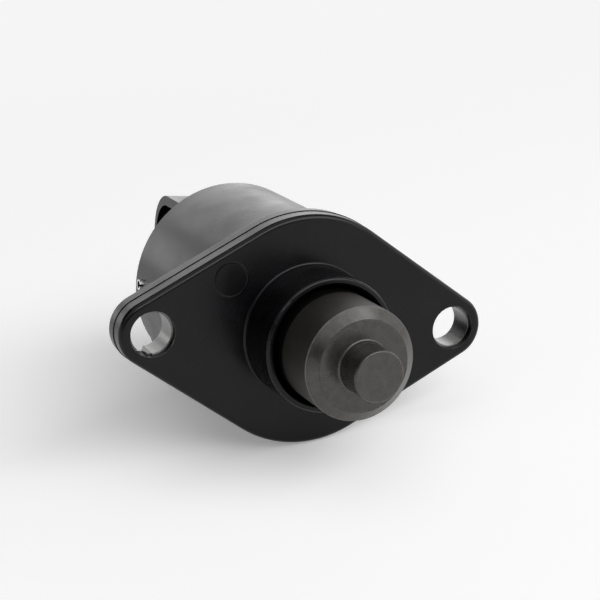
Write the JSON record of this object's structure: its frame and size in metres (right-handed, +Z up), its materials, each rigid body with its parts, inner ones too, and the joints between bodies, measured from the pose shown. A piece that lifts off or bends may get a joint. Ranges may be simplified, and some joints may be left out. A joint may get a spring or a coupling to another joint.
{
  "type": "idle air control valve",
  "caption": "Idle air control valve: an oval flange with steel-lined bolt holes, a collar with a sliding turned plunger, and a round stepper motor shell with a plug socket at its rear.",
  "frame": {"origin": "centre of the flange's mounting face, on the plunger's axis", "axes": "-Y out of the mounting face, along the plunger; +X to the right-hand ear seen from the front; +Z up; the plug socket opens towards -X"},
  "size_m": [0.0604, 0.068, 0.0362],
  "materials": {
    "moulding": "satin black glass-filled moulding",
    "zinc": "zinc-plated strip",
    "seal": "matte",
    "plunger": "turned, satin",
    "steel": "ground",
    "balls": "polished",
    "brass": "satin",
    "light_plastic": "natural",
    "magnet": "ground ferrite",
    "copper": "enamelled copper wire",
    "tinned": "tinned"
  },
  "bodies": {
    "body": {"housing": "moulding", "rear_cover": "moulding", "sleeve_left": "zinc", "sleeve_right": "zinc", "cover_pins": "zinc", "cover_seal": "seal", "plunger_spring": "steel", "guide_bush": "light_plastic", "front_bearing_outer_ring": "steel", "disc_spring": "steel", "rear_bush": "brass", "front_stator_cup": "zinc", "front_pole_plate": "zinc", "front_bobbin": "light_plastic", "front_winding": "copper", "rear_stator_cup": "zinc", "rear_pole_plate": "zinc", "rear_bobbin": "light_plastic", "rear_winding": "copper", "terminal_1": "tinned", "terminal_2": "tinned", "terminal_3": "tinned", "terminal_4": "tinned"},
    "plunger": {"plunger": "plunger", "lead_screw": "steel"},
    "rotor": {"rotor_magnet": "magnet", "rotor_hub": "light_plastic", "front_bearing_inner_ring": "steel"},
    "ball_cage": {"front_bearing_balls": "balls", "front_bearing_cage": "brass"}
  },
  "joints": [
    {"name": "rotor_turn", "type": "hinge", "parent": "body", "child": "rotor", "pos_m": [0, 0.02, 0], "axis": [0, 1, 0], "range_deg": [-2340, 720]},
    {"name": "plunger_slide", "type": "slide", "parent": "body", "child": "plunger", "axis": [0, -1, 0], "range_m": [-0.0065, 0.002], "deforming": ["plunger_spring"]},
    {"name": "cage_turn", "type": "hinge", "parent": "body", "child": "ball_cage", "pos_m": [0, 0.01, 0], "axis": [0, 1, 0], "range_deg": [-946, 291]}
  ],
  "couplings": [
    {"joint": "plunger_slide", "follows": "rotor_turn", "m_per_rad": 0.00015915},
    {"joint": "cage_turn", "follows": "rotor_turn", "ratio": 0.4038}
  ]
}
